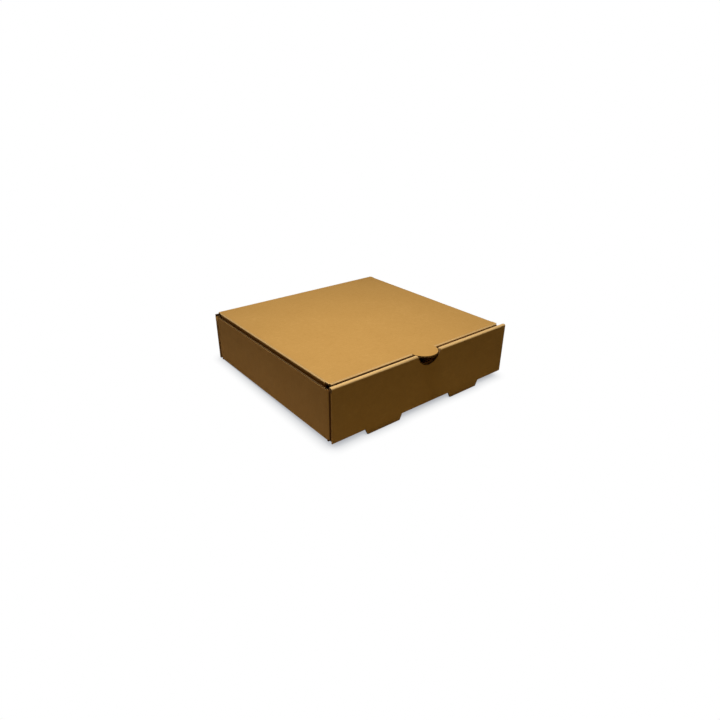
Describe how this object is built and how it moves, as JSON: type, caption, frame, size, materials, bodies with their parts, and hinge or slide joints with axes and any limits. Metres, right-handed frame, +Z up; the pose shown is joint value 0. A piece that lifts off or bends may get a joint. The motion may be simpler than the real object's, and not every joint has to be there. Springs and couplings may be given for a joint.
{
  "type": "pizza box",
  "caption": "Small square corrugated pizza box with a rolled, locked front wall, a thumb notch and a hinged tuck-in lid.",
  "frame": {"origin": "centre of the base's underside, midway between the side walls and between front and back", "axes": "+Z up, the rolled front wall with the thumb notch faces -Y, the lid's hinge runs along X at the back"},
  "size_m": [0.2, 0.1979, 0.0534],
  "materials": {
    "kraft_board": "matte brown kraft liner, plain and unprinted"
  },
  "bodies": {
    "tray": {"tray": "kraft_board"},
    "lid": {"lid": "kraft_board"}
  },
  "joints": [
    {"name": "lid_hinge", "type": "hinge", "parent": "tray", "child": "lid", "pos_m": [0, 0.09665, 0.0481], "axis": [-1, 0, 0], "range_deg": [0, 180]}
  ]
}
